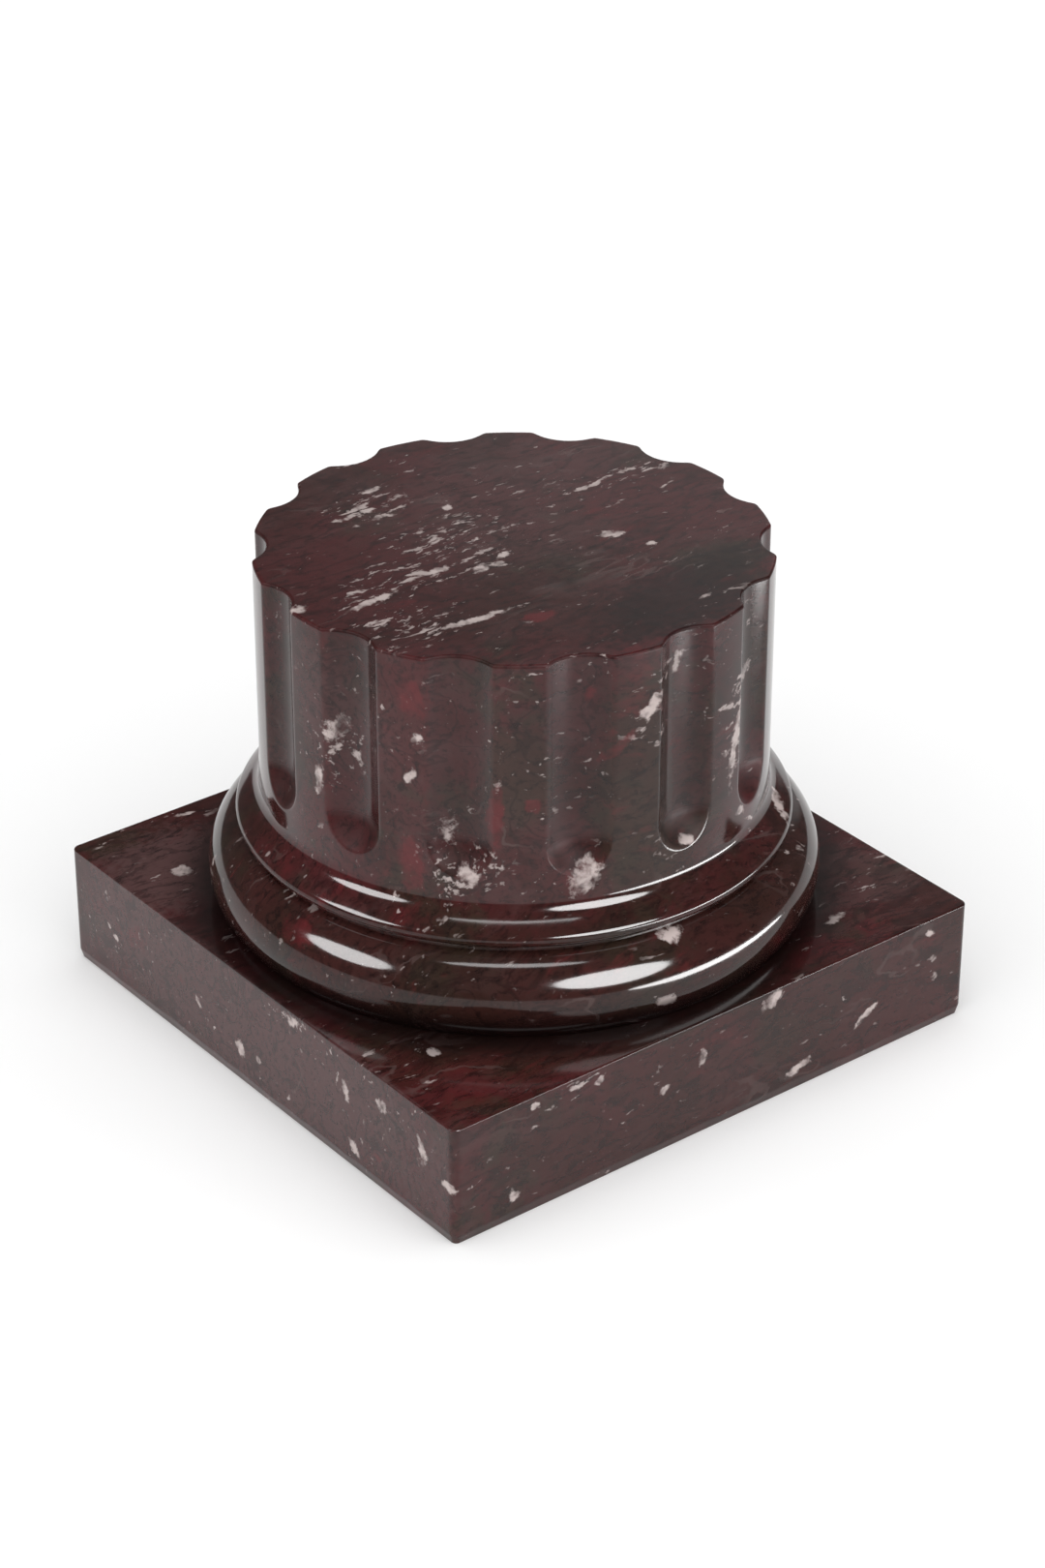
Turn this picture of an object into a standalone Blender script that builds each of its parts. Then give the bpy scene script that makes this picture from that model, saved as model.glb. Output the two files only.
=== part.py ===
"""Low marble pedestal: a fluted column drum with a moulded foot, standing on a square plinth.

Metres, +Z up. The origin is the middle of the plinth's underside.
"""

import math

import bmesh
import bpy

# Square plinth
PLINTH_HEIGHT = 0.050
PLINTH_LEDGE = 0.0062
PLINTH_CORNER_RADIUS = 0.0032
PLINTH_CORNER_SEGMENTS = 4
FOOT_BEVEL_HEIGHT = 0.0042
FOOT_BEVEL_INSET = 0.0011
PLINTH_TOP_ARRIS = 0.0006

# Bed joint, the clearance between the plinth and the column standing on it
BED_CLEARANCE = 0.0003

# Shaft
SHAFT_RADIUS = 0.098
SHAFT_HEIGHT = 0.0957
SHAFT_TOP_ARRIS = 0.0008
ARRIS_SEGMENTS = 2

# Hollow that spreads the shaft's foot out to the ring, turning this far from upright
HOLLOW_RADIUS = 0.0085
HOLLOW_TURN_DEG = 54
HOLLOW_SEGMENTS = 4

# Ring under the hollow: a slightly swelling slope that rolls over a tight nose and back under
RING_SLOPE_RADIUS = 0.0475
RING_SLOPE_SEGMENTS = 2
RING_NOSE_RADIUS = 0.0031
NOSE_START_DEG = 46
NOSE_END_DEG = -75
RING_NOSE_SEGMENTS = 6

# Quirk, the narrow groove between the ring and the torus
QUIRK_DEPTH = 0.0005
QUIRK_HEIGHT = 0.0018

# Torus, the big round moulding on the plinth, widest low down
TORUS_RADIUS = 0.0194
TORUS_RISE = 0.0121
TORUS_PROJECTION = 0.0141
TORUS_SEGMENTS = 14

# Flutes, open at the top and round at the foot
FLUTE_COUNT = 14
FLUTE_WIDTH = 0.0243
FLUTE_DEPTH = 0.00575
FLUTE_FOOT_MARGIN = 0.0082
FLUTE_TURN_DEG = 1.8
TURNING_STEPS_PER_FLUTE = 6
FLUTE_CUTTER_SEGMENTS = 40
FLUTE_FOOT_SEGMENTS = 10
CUTTER_OVERRUN = 0.010

# Meshing: edges sharper than this stay crisp, points closer than this become one
CRISP_EDGE_DEG = 30
MERGE_DISTANCE = 1e-6

# Stone colours, as linear red, green and blue
PLINTH_COLOUR = (0.105, 0.062, 0.060)
COLUMN_COLOUR = (0.095, 0.048, 0.044)
POLISH_ROUGHNESS = 0.16

# The ring's and the hollow's angles as fractions of the radius, outwards and upwards
turn_out, turn_up = math.cos(math.radians(HOLLOW_TURN_DEG)), math.sin(math.radians(HOLLOW_TURN_DEG))
nose_out, nose_up = math.cos(math.radians(NOSE_START_DEG)), math.sin(math.radians(NOSE_START_DEG))
foot_out, foot_up = math.cos(math.radians(NOSE_END_DEG)), math.sin(math.radians(NOSE_END_DEG))

# Radii worked out from the sizes above, from the shaft outwards
hollow_foot_radius = SHAFT_RADIUS + HOLLOW_RADIUS * (1 - turn_out)
nose_start_radius = hollow_foot_radius + RING_SLOPE_RADIUS * (nose_out - turn_out)
nose_centre_radius = nose_start_radius - RING_NOSE_RADIUS * nose_out
quirk_radius = nose_centre_radius + RING_NOSE_RADIUS * foot_out - QUIRK_DEPTH
torus_outer_radius = quirk_radius + TORUS_PROJECTION
torus_centre_radius = torus_outer_radius - TORUS_RADIUS
plinth_side = 2 * (torus_outer_radius + PLINTH_LEDGE)

# Heights worked out from the sizes above, from the bed upwards
bed_z = PLINTH_HEIGHT + BED_CLEARANCE
torus_centre_z = bed_z + TORUS_RISE
torus_foot_angle = -math.asin(TORUS_RISE / TORUS_RADIUS)
torus_head_angle = math.acos((quirk_radius - torus_centre_radius) / TORUS_RADIUS)
ring_foot_z = torus_centre_z + TORUS_RADIUS * math.sin(torus_head_angle) + QUIRK_HEIGHT
nose_centre_z = ring_foot_z - RING_NOSE_RADIUS * foot_up
hollow_foot_z = nose_centre_z + RING_NOSE_RADIUS * nose_up + RING_SLOPE_RADIUS * (turn_up - nose_up)
shaft_foot_z = hollow_foot_z + HOLLOW_RADIUS * turn_up
shaft_top_z = shaft_foot_z + SHAFT_HEIGHT

# Radius of the round tool that leaves a flute of this width and depth in the shaft
half_width = FLUTE_WIDTH / 2
flute_sagitta = math.sqrt(SHAFT_RADIUS**2 - half_width**2) - (SHAFT_RADIUS - FLUTE_DEPTH)
flute_tool_radius = (half_width**2 + flute_sagitta**2) / (2 * flute_sagitta)
flute_axis_radius = SHAFT_RADIUS - FLUTE_DEPTH + flute_tool_radius


def clear_scene():
    """Remove whatever the file opened with."""
    for thing in list(bpy.data.objects):
        bpy.data.objects.remove(thing, do_unlink=True)


def polished_marble(name, colour):
    """Polished stone of one colour."""
    material = bpy.data.materials.new(name)
    material.use_nodes = True
    shader = material.node_tree.nodes["Principled BSDF"]
    shader.inputs["Base Color"].default_value = (*colour, 1.0)
    shader.inputs["Roughness"].default_value = POLISH_ROUGHNESS
    shader.inputs["Metallic"].default_value = 0.0
    return material


def arc(centre, radius, start_deg, end_deg, segments):
    """Points of a circular arc in the (radius, height) plane, both ends included."""
    points = []
    for step in range(segments + 1):
        angle = math.radians(start_deg + (end_deg - start_deg) * step / segments)
        points.append((centre[0] + radius * math.cos(angle), centre[1] + radius * math.sin(angle)))
    return points


def column_profile():
    """Half section of the turned column, from the middle of the top, down the outside, to the bed."""
    top_arris_centre = (SHAFT_RADIUS - SHAFT_TOP_ARRIS, shaft_top_z - SHAFT_TOP_ARRIS)
    hollow_centre = (SHAFT_RADIUS + HOLLOW_RADIUS, shaft_foot_z)
    slope_centre = (
        hollow_foot_radius - RING_SLOPE_RADIUS * turn_out,
        hollow_foot_z - RING_SLOPE_RADIUS * turn_up,
    )
    nose_centre = (nose_centre_radius, nose_centre_z)
    torus_centre = (torus_centre_radius, torus_centre_z)
    head_deg, foot_deg = math.degrees(torus_head_angle), math.degrees(torus_foot_angle)
    profile = [(0.0, shaft_top_z)]
    profile += arc(top_arris_centre, SHAFT_TOP_ARRIS, 90, 0, ARRIS_SEGMENTS)
    profile += arc(hollow_centre, HOLLOW_RADIUS, 180, 180 + HOLLOW_TURN_DEG, HOLLOW_SEGMENTS)
    profile += arc(slope_centre, RING_SLOPE_RADIUS, HOLLOW_TURN_DEG, NOSE_START_DEG, RING_SLOPE_SEGMENTS)[1:]
    profile += arc(nose_centre, RING_NOSE_RADIUS, NOSE_START_DEG, NOSE_END_DEG, RING_NOSE_SEGMENTS)[1:]
    profile.append((quirk_radius, ring_foot_z))
    profile += arc(torus_centre, TORUS_RADIUS, head_deg, foot_deg, TORUS_SEGMENTS)
    profile.append((0.0, bed_z))
    return profile


def turned_mesh(name, profile, steps):
    """Closed mesh made by spinning a half section, both of whose ends lie on the Z axis."""
    mesh = bpy.data.meshes.new(name)
    bm = bmesh.new()
    points = [bm.verts.new((radius, 0.0, height)) for radius, height in profile]
    edges = [bm.edges.new(pair) for pair in zip(points, points[1:])]
    bmesh.ops.spin(
        bm,
        geom=points + edges,
        cent=(0.0, 0.0, 0.0),
        axis=(0.0, 0.0, 1.0),
        angle=math.tau,
        steps=steps,
        use_merge=True,
    )
    bmesh.ops.remove_doubles(bm, verts=bm.verts[:], dist=MERGE_DISTANCE)
    bmesh.ops.recalc_face_normals(bm, faces=bm.faces[:])
    bm.to_mesh(mesh)
    bm.free()
    mesh.shade_smooth()
    mesh.set_sharp_from_angle(angle=math.radians(CRISP_EDGE_DEG))
    return mesh


def add_object(name, mesh, material=None):
    """Put a mesh in the scene under its own name."""
    thing = bpy.data.objects.new(name, mesh)
    bpy.context.scene.collection.objects.link(thing)
    if material is not None:
        mesh.materials.append(material)
    return thing


def bevel_edges(bm, picks, width, segments):
    """Bevel the edges that the function picks chooses."""
    edges = [edge for edge in bm.edges if picks(edge)]
    bmesh.ops.bevel(
        bm, geom=edges, offset=width, segments=segments, profile=0.5, affect="EDGES", clamp_overlap=True
    )


def make_plinth():
    """Square block: rounded at its four corners, its top edge eased, and steeply bevelled round its foot."""
    bm = bmesh.new()
    bmesh.ops.create_cube(bm, size=1.0)
    bmesh.ops.scale(bm, vec=(plinth_side, plinth_side, PLINTH_HEIGHT), verts=bm.verts[:])
    bmesh.ops.translate(bm, vec=(0.0, 0.0, PLINTH_HEIGHT / 2), verts=bm.verts[:])

    def on_level(edge, height):
        return all(abs(vert.co.z - height) < MERGE_DISTANCE for vert in edge.verts)

    def climbs(edge):
        return abs(edge.verts[0].co.z - edge.verts[1].co.z) > MERGE_DISTANCE

    bevel_edges(bm, climbs, PLINTH_CORNER_RADIUS, PLINTH_CORNER_SEGMENTS)
    bevel_edges(bm, lambda edge: on_level(edge, PLINTH_HEIGHT), PLINTH_TOP_ARRIS, 1)
    everything = bm.verts[:] + bm.edges[:] + bm.faces[:]
    bevel_line = (0.0, 0.0, FOOT_BEVEL_HEIGHT)
    bmesh.ops.bisect_plane(bm, geom=everything, plane_co=bevel_line, plane_no=(0.0, 0.0, 1.0))
    foot = [vert for vert in bm.verts if vert.co.z < MERGE_DISTANCE]
    inwards = 1.0 - FOOT_BEVEL_INSET / (plinth_side / 2)
    bmesh.ops.scale(bm, vec=(inwards, inwards, 1.0), verts=foot)
    mesh = bpy.data.meshes.new("Plinth")
    bm.to_mesh(mesh)
    bm.free()
    return add_object("Plinth", mesh, polished_marble("Plinth marble", PLINTH_COLOUR))


def make_flute_cutters():
    """One upright round-ended tool for each flute, in a collection of their own."""
    foot_drop = math.sqrt(flute_tool_radius**2 - (flute_axis_radius - SHAFT_RADIUS) ** 2)
    foot_z = shaft_foot_z + FLUTE_FOOT_MARGIN + foot_drop
    reach = shaft_top_z - foot_z + CUTTER_OVERRUN
    profile = [(0.0, reach), (flute_tool_radius, reach)]
    profile += arc((0.0, 0.0), flute_tool_radius, 0, -90, FLUTE_FOOT_SEGMENTS)
    mesh = turned_mesh("Flute cutter", profile, FLUTE_CUTTER_SEGMENTS)
    cutters = bpy.data.collections.new("Flute cutters")
    bpy.context.scene.collection.children.link(cutters)
    for index in range(FLUTE_COUNT):
        angle = math.radians(FLUTE_TURN_DEG - 90.0) + math.tau * index / FLUTE_COUNT
        cutter = bpy.data.objects.new(f"Flute cutter {index + 1}", mesh)
        cutter.location = (flute_axis_radius * math.cos(angle), flute_axis_radius * math.sin(angle), foot_z)
        cutter.rotation_euler = (0.0, 0.0, angle)
        cutter.hide_render = True
        cutter.display_type = "WIRE"
        cutters.objects.link(cutter)
    return cutters


def make_column():
    """Turned shaft, ring and torus in one stone, with the flutes cut into the shaft."""
    steps = FLUTE_COUNT * TURNING_STEPS_PER_FLUTE
    mesh = turned_mesh("Fluted_Column", column_profile(), steps)
    column = add_object("Fluted_Column", mesh, polished_marble("Column marble", COLUMN_COLOUR))
    column.rotation_euler = (0.0, 0.0, math.radians(FLUTE_TURN_DEG - 90.0))
    cut = column.modifiers.new("Flutes", "BOOLEAN")
    cut.operation = "DIFFERENCE"
    cut.solver = "EXACT"
    cut.operand_type = "COLLECTION"
    cut.collection = make_flute_cutters()
    return column


def main():
    clear_scene()
    make_plinth()
    make_column()


main()
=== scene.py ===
"""Low marble pedestal: a fluted column drum with a moulded foot on a square plinth.

Metres, +Z up, in the frame of the CAD model. The column and the plinth are each one closed surface worked
out on a grid of points, and both take their stone from one procedural marble.
"""

import math

import bpy
import numpy as np
from bpy.props import FloatProperty, FloatVectorProperty, IntProperty, PointerProperty
from mathutils import Matrix, Vector


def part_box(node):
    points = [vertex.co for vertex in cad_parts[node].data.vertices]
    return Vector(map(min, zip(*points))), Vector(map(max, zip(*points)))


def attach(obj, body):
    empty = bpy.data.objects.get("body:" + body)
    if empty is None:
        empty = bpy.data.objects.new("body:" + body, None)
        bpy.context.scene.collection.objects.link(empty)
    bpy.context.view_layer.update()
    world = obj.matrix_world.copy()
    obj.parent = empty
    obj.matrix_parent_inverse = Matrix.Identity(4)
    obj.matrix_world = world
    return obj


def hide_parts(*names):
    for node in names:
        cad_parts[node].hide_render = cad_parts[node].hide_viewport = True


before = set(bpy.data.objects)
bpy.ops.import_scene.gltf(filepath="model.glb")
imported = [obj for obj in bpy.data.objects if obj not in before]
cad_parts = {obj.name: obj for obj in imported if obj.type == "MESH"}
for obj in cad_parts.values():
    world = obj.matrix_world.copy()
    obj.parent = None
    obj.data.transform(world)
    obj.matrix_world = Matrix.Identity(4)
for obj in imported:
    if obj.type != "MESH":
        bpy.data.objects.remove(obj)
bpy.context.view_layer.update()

column_low, column_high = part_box("Fluted_Column")
plinth_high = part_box("Plinth")[1]

bl_info = {
    "name": "Marble sculpture pedestal",
    "version": (1, 0, 0),
    "blender": (4, 5, 0),
    "location": "3D View > Sidebar > Pedestal",
    "description": "Fluted marble drum with a moulded foot on a square plinth",
    "category": "Add Mesh",
}

ORIGIN = (0.0, 0.0, 0.0)

# Columns of points round one flute's pitch, and how much closer they stand at the flute's two arrises
COLUMNS_PER_PITCH = 40
ARRIS_CROWDING = 1.4
ARRIS_ZONE_DEG = 1.3

# Points along the fine scale that those columns are picked from
FINE_POINTS = 2001

# A radius well outside the pedestal, for the places where the tool cuts nothing
UNCUT = 1.0

# Rows of points up each part of the column's section
TORUS_ROWS = 42
QUIRK_ROWS = 5
NOSE_ROWS = 15
SLOPE_ROWS = 8
HOLLOW_ROWS = 12
PLAIN_ROWS = 4
FLUTE_FOOT_ROWS = 42
SHAFT_ROWS = 10
ARRIS_ROWS = 5

# Rings across the flat tops, as shares of the outermost one
TOP_RINGS = (0.997, 0.97, 0.85, 0.6, 0.3)
PLINTH_TOP_RINGS = (0.997, 0.97, 0.75)

# Points round the plinth, along each side and round each corner, and rows up it
SIDE_COLUMNS = 200
CORNER_COLUMNS = 10
BEVEL_ROWS = 5
PLINTH_SIDE_ROWS = 12

# Waves of the foot bevel's upper line: turns round the stone, start, and size as a share of the wear
BEVEL_WAVES = ((9, 0.4, 0.30), (23, 2.1, 0.26), (41, 0.9, 0.22), (67, 3.3, 0.22))

# Narrow strip beside an edge, so that the wide flat faces next to it shade flat
EDGE_STRIP = 0.0003

# Angle past which an edge is shaded sharp
CREASE_DEG = 30

# The middle value of a noise
MIDDLE = 0.5

# The stone's coordinates: scale, reach and detail of its two ruffles, then stretch and turn of its grain
BROAD_RUFFLE = (45.0, 0.008)
FINE_RUFFLE = (240.0, 0.0022)
RUFFLE_DETAIL = 3.0
GRAIN_STRETCH = (0.32, 1.0, 0.9)
GRAIN_TURN = (0.0, 0.25, 0.1)

# Noises of the stone: where each starts, so that no two are alike, its scale, detail and roughness
CLOUDS = ((3.1, 1.7, 0.4), 17.0, 6.0, 0.62)
PATCHES = ((8.3, 0.9, 2.7), 26.0, 5.0, 0.65)
MOTTLE = ((0.7, 2.3, 5.1), 75.0, 5.0, 0.68)
BLUSH = ((1.9, 6.1, 0.3), 52.0, 5.0, 0.66)
FINE_GRAIN = ((4.7, 0.3, 2.9), 420.0, 4.0, 0.7)
VEIN_PLACES = ((4.4, 0.2, 9.1), 22.0)
SPECK_PLACES = ((0.9, 4.1, 7.7), 34.0)
CRYSTALS = ((3.3, 6.6, 1.2), 150.0, 3.0)
WHEEL_MARKS = ((2.5, 2.5, 2.5), 90.0, 3.0)

# Masks made from them: where each begins, where it is full and, unless it is 1, its strength there
CLOUD_EDGES = (0.40, 0.60)
PATCH_EDGES = (0.52, 0.64, 0.75)
MOTTLE_EDGES = (0.47, 0.66, 0.38)
RED_EDGES = (0.30, 0.62)
BLUSH_EDGES = (0.58, 0.70, 0.45)
DARK_GRAIN_EDGES = (0.52, 0.34, 0.55)
VEIN_EDGES = (0.52, 0.66, 0.35)
SPECK_EDGES = (0.40, 0.62)
CRYSTAL_EDGES = (0.26, 0.58, 0.95)

# Thin lines: where their noise starts, its scale, the lines' width in it and, for the veins, its detail
SEAM_LINES = ((5.5, 3.2, 1.1), 60.0, 0.03)
VEIN_LINES = ((2.2, 7.4, 4.6), 30.0, 0.012, 3.0)

# Roughness and distortion of that noise, and the share of its width over which a line is full
LINE_NOISE = (0.5, 0.6)
LINE_CORE = 0.3

# How strongly the dark seams and the red flecks cover the stone
SEAM_STRENGTH = 0.35
RED_STRENGTH = 0.75

# Outlines of the placed flecks: distance where one ends and where it is full, with half its size as 1
FLECK_EDGES = (1.30, 0.65)

# The noise that makes those outlines ragged: scale, detail, roughness, and how far it pushes them
RAGGED_NOISE = (300.0, 3.0, 0.6)
RAGGEDNESS = 1.6

# How ragged the zones and the pale flecks are beside the rest
ZONE_SHARE = 0.6
PALE_SHARE = 1.5

# Scattered pale specks: where their noise starts, its scale, how sparse they are, and how strong
SCATTERED_SPECKS = (
    ((6.6, 2.8, 3.9), 170.0, 0.66, 0.75),
    ((1.2, 8.8, 0.6), 300.0, 0.66, 0.6),
    ((7.9, 5.2, 4.4), 520.0, 0.68, 0.45),
)

# Detail and roughness of that noise, how soft a speck's edge is, and how much a cluster eases them
SPECK_NOISE = (3.0, 0.6)
SPECK_SOFTNESS = 0.07
CROWDING = 0.07

# The painted shade round the joint, where the torus stands on the plinth: radius and heights where it ends
# and where it is full, and its strength
JOINT_SHADE_REACH = (0.140, 0.117)
JOINT_SHADE_ABOVE = (0.066, 0.0535)
JOINT_SHADE_BELOW = (0.0480, 0.0495)
JOINT_SHADE_STRENGTH = 0.85

# Masks of the shaft, in metres inside its radius, and below its flutes' straight part or its top
CARVED_DEPTHS = (0.0004, 0.0024)
EDGED_DEPTHS = (0.00002, 0.0004)
FOOT_DROPS = (-0.002, 0.010)
RIM_DROPS = (0.0014, 0.0008)
LEVEL_DROPS = (0.00002, 0.00015)

# Polish: spread of its roughness, what the flutes and their feet add to it, the flutes' painted shade, and
# the least gloss
POLISH_SPREAD = (0.75, 1.5)
FLUTE_DULLNESS = 0.06
FOOT_DULLNESS = 0.40
FLUTE_PAINTED_SHADE = 0.22
LEAST_GLOSS = 0.08

# The wheel's slow waves in the surface: scale and detail, then the fine grain's share, strength and depth
WAVE_NOISE = (55.0, 2.0)
GRAIN_RELIEF = 0.06
BUMP_STRENGTH = 0.11
BUMP_DEPTH = 0.0006

# How much the polished stone bends light
STONE_IOR = 1.5

# Where the marks lie, in millimetres: the shaft's radius, the two tops, and the plinth's sides
SHAFT_FACE = 98.0
COLUMN_TOP = 194.9
PLINTH_TOP = 50
PLINTH_FACE = 125

# How deep a mark goes into the stone, in millimetres
SHAFT_MARK_DEPTH = 7.0
FLAT_MARK_DEPTH = 3.0

# The broad light: azimuth, elevation and spread in degrees
ROOM_LIGHT = (-128, 68, 120)

# The lights seen in the polish: azimuth, elevation, distance, width and height, and roll in degrees
RIGHT_LIGHT = (-92, 27, 1.5, (1.05, 0.80), 0.0)
LOW_RIGHT_LIGHT = (-60, -9.0, 0.5, (0.62, 0.075), -5)
LEFT_LIGHT = (166, 32, 1.5, (0.85, 0.60), 0.0)
OVERHEAD_LIGHT = (-128, 73, 1.5, (0.90, 0.22), 0.0)

# The point that they face, at half the pedestal's height
LIGHT_AIM = (0.0, 0.0, 0.1)

# The glowing wall behind, in degrees: where its middle is, and how far off its glow ends and is full
WALL_MIDDLE = (40, 12)
WALL_EDGES = (22, 15)

FLOOR_ROUGHNESS = 0.9
FLOOR_GLOSS = 0.1

# The photograph's camera: where it stands, and the direction behind it
CAMERA_PLACE = (-0.8103, -1.0378, 0.8462)
CAMERA_BACK = (-0.53549, -0.68241, 0.49755)


def length(name, default, description):
    """A size in metres for a property group."""
    return FloatProperty(name=name, description=description, default=default, min=0.0, unit="LENGTH")


def plain(name, default, description):
    """A number without a unit for a property group."""
    return FloatProperty(name=name, description=description, default=default, min=0.0)


def degrees(name, default, description):
    """An angle for a property group, its default given in degrees."""
    return FloatProperty(name=name, description=description, default=math.radians(default), subtype="ANGLE")


def colour(name, default, description):
    """A linear colour for a property group."""
    return FloatVectorProperty(
        name=name, description=description, default=default, size=3, min=0.0, max=1.0, subtype="COLOR"
    )


class PedestalMouldings(bpy.types.PropertyGroup):
    """Sizes of the column's turned section, from the bed upwards."""

    bed: length("Bed height", column_low.z, "Height of the column's underside on its bed joint")
    top: length("Top height", column_high.z, "Height of the polished top")
    foot_reach: length("Torus reach", column_high.x, "Radius of the torus at its widest")
    torus_radius: length("Torus radius", 0.0194, "Radius of the torus moulding's section")
    torus_rise: length("Torus rise", 0.0121, "Height of the torus's widest line above its bed")
    torus_projection: length("Torus projection", 0.0141, "How far the torus stands out from the quirk")
    quirk_depth: length("Quirk depth", 0.0005, "How far the groove lies behind the ring's foot")
    quirk_height: length("Quirk height", 0.0018, "Height of the groove between torus and ring")
    nose_radius: length("Nose radius", 0.0031, "Radius of the ring's tight lower edge")
    nose_start: degrees("Nose start", 46.0, "Angle at which the ring's slope turns over its nose")
    nose_end: degrees("Nose end", -75.0, "Angle at which the nose runs out underneath")
    slope_radius: length("Slope radius", 0.0475, "Radius of the ring's slightly swelling slope")
    hollow_radius: length("Hollow radius", 0.0085, "Radius of the hollow under the shaft")
    hollow_turn: degrees("Hollow turn", 54.0, "How far the hollow turns away from upright")
    shaft_radius: length("Shaft radius", 0.098, "Radius of the shaft between its flutes")
    top_arris: length("Top arris", 0.0008, "Radius of the eased edge round the top")


class PedestalFlutes(bpy.types.PropertyGroup):
    """Sizes of the flutes in the shaft."""

    count: IntProperty(name="Flutes", description="Number of flutes round the shaft", default=14, min=3)
    width: length("Flute width", 0.0243, "Width of a flute across its arrises")
    depth: length("Flute depth", 0.00575, "Depth of a flute at its middle")
    foot_margin: length("Foot margin", 0.0082, "Plain band between the hollow and the flutes' round feet")
    turn: degrees("Flute turn", 1.8, "Turn of the first flute from the middle of the plinth's front")
    straight: length("Straight length", 0.072, "Length of a flute above its round foot, for the polish")
    easing: length("Arris easing", 0.0017, "Rounding of the edges between flutes and shaft")


class PedestalPlinth(bpy.types.PropertyGroup):
    """Sizes of the square plinth."""

    half_side: length("Half side", plinth_high.x, "Half the side of the square plinth")
    height: length("Height", plinth_high.z, "Height of the plinth")
    corner_radius: length("Corner radius", 0.0032, "Rounding of the four upright corners")
    bevel_height: length("Foot bevel height", 0.0042, "Height of the steep bevel round the foot")
    bevel_inset: length("Foot bevel inset", 0.0011, "How far the bevel draws the foot in")
    top_arris: length("Top arris", 0.0006, "Radius of the eased edge round the top")
    wear: length("Bevel wear", 0.0006, "Unevenness of the hand-dressed bevel")


class PedestalMarble(bpy.types.PropertyGroup):
    """Colours and finish of the marble."""

    body: colour("Body", (0.039, 0.0110, 0.0095), "Dark brown body of the stone")
    burgundy: colour("Burgundy", (0.063, 0.0130, 0.0140), "Wine-red clouds")
    mauve: colour("Mauve", (0.076, 0.034, 0.034), "Grey-mauve clouds")
    green: colour("Green", (0.032, 0.021, 0.014), "Grey-green clouds")
    red: colour("Red", (0.120, 0.015, 0.018), "Bright red patches and flecks")
    # The seam colour is also the tint of the painted shade at the joint and in the flutes
    seam: colour("Seam", (0.006, 0.003, 0.003), "Dark seams between the clouds")
    pale: colour("Pale", (0.56, 0.47, 0.45), "Crystalline flecks")
    vein: colour("Vein", (0.12, 0.080, 0.075), "Fine pale veins")
    polish: plain("Polish", 0.085, "Roughness of the polished stone, 0 is a mirror")
    gloss: plain("Gloss", 0.36, "Strength of the reflections, 0.5 is that of glass")


class PedestalStage(bpy.types.PropertyGroup):
    """Floor, lights and camera."""

    floor_size: length("Floor size", 9.0, "Side of the square floor")
    floor_colour: colour("Floor colour", (0.90, 0.90, 0.90), "Colour of the floor")
    room_light: plain("Room light", 3.7, "Strength of the broad soft light from above")
    right_power: plain("Right light", 50.0, "Power of the large light on the right")
    low_power: plain("Low light", 3.2, "Power of the low light on the right")
    left_power: plain("Left light", 22.0, "Power of the light on the left")
    top_power: plain("Overhead light", 4.5, "Power of the narrow light overhead")
    sky: plain("Sky", 0.095, "Brightness of the dim room round the lights")
    glow: plain("Wall glow", 0.46, "Brightness of the pale wall behind, seen in the polished top")
    lens: plain("Lens", 90.33, "Focal length of the camera in millimetres")


def polar_grid(radius, angle, height):
    """Points (radius cos angle, radius sin angle, height), for arrays of one shape."""
    return np.stack([radius * np.cos(angle), radius * np.sin(angle), height], axis=-1)


def arc(centre, radius, start, end, count):
    """Points of a circular arc in the (radius, height) plane, both ends included."""
    angle = np.linspace(start, end, count)
    return np.stack([centre[0] + radius * np.cos(angle), centre[1] + radius * np.sin(angle)], axis=-1)


def closed_surface(name, rows, low_pole, high_pole, material):
    """Object from rings of points stacked upwards, each end closed by a fan to its pole.

    rows[i, j] is point j of ring i, anticlockwise from above, so quads wound (j, j + 1) face outwards.
    """
    ring_count, columns = rows.shape[:2]
    points = np.concatenate([rows.reshape(-1, 3), [low_pole, high_pole]])
    low_index, high_index = len(points) - 2, len(points) - 1
    here = np.arange(columns)
    after = np.roll(here, -1)
    base = np.arange(ring_count - 1)[:, None] * columns
    quads = np.stack([base + here, base + after, base + columns + after, base + columns + here], axis=-1)
    last = (ring_count - 1) * columns
    low_fan = np.stack([np.full(columns, low_index), after, here], axis=-1)
    high_fan = np.stack([np.full(columns, high_index), last + here, last + after], axis=-1)
    corners = np.concatenate([quads.ravel(), low_fan.ravel(), high_fan.ravel()])
    sizes = np.concatenate([np.full(quads.size // 4, 4), np.full(2 * columns, 3)])
    mesh = bpy.data.meshes.new(name)
    mesh.vertices.add(len(points))
    mesh.vertices.foreach_set("co", points.ravel())
    mesh.loops.add(len(corners))
    mesh.loops.foreach_set("vertex_index", corners)
    mesh.polygons.add(len(sizes))
    mesh.polygons.foreach_set("loop_start", np.concatenate([[0], np.cumsum(sizes)[:-1]]))
    mesh.update(calc_edges=True)
    mesh.validate()
    mesh.shade_smooth()
    mesh.set_sharp_from_angle(angle=math.radians(CREASE_DEG))
    mesh.materials.append(material)
    piece = bpy.data.objects.new(name, mesh)
    bpy.context.scene.collection.objects.link(piece)
    return piece


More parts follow.
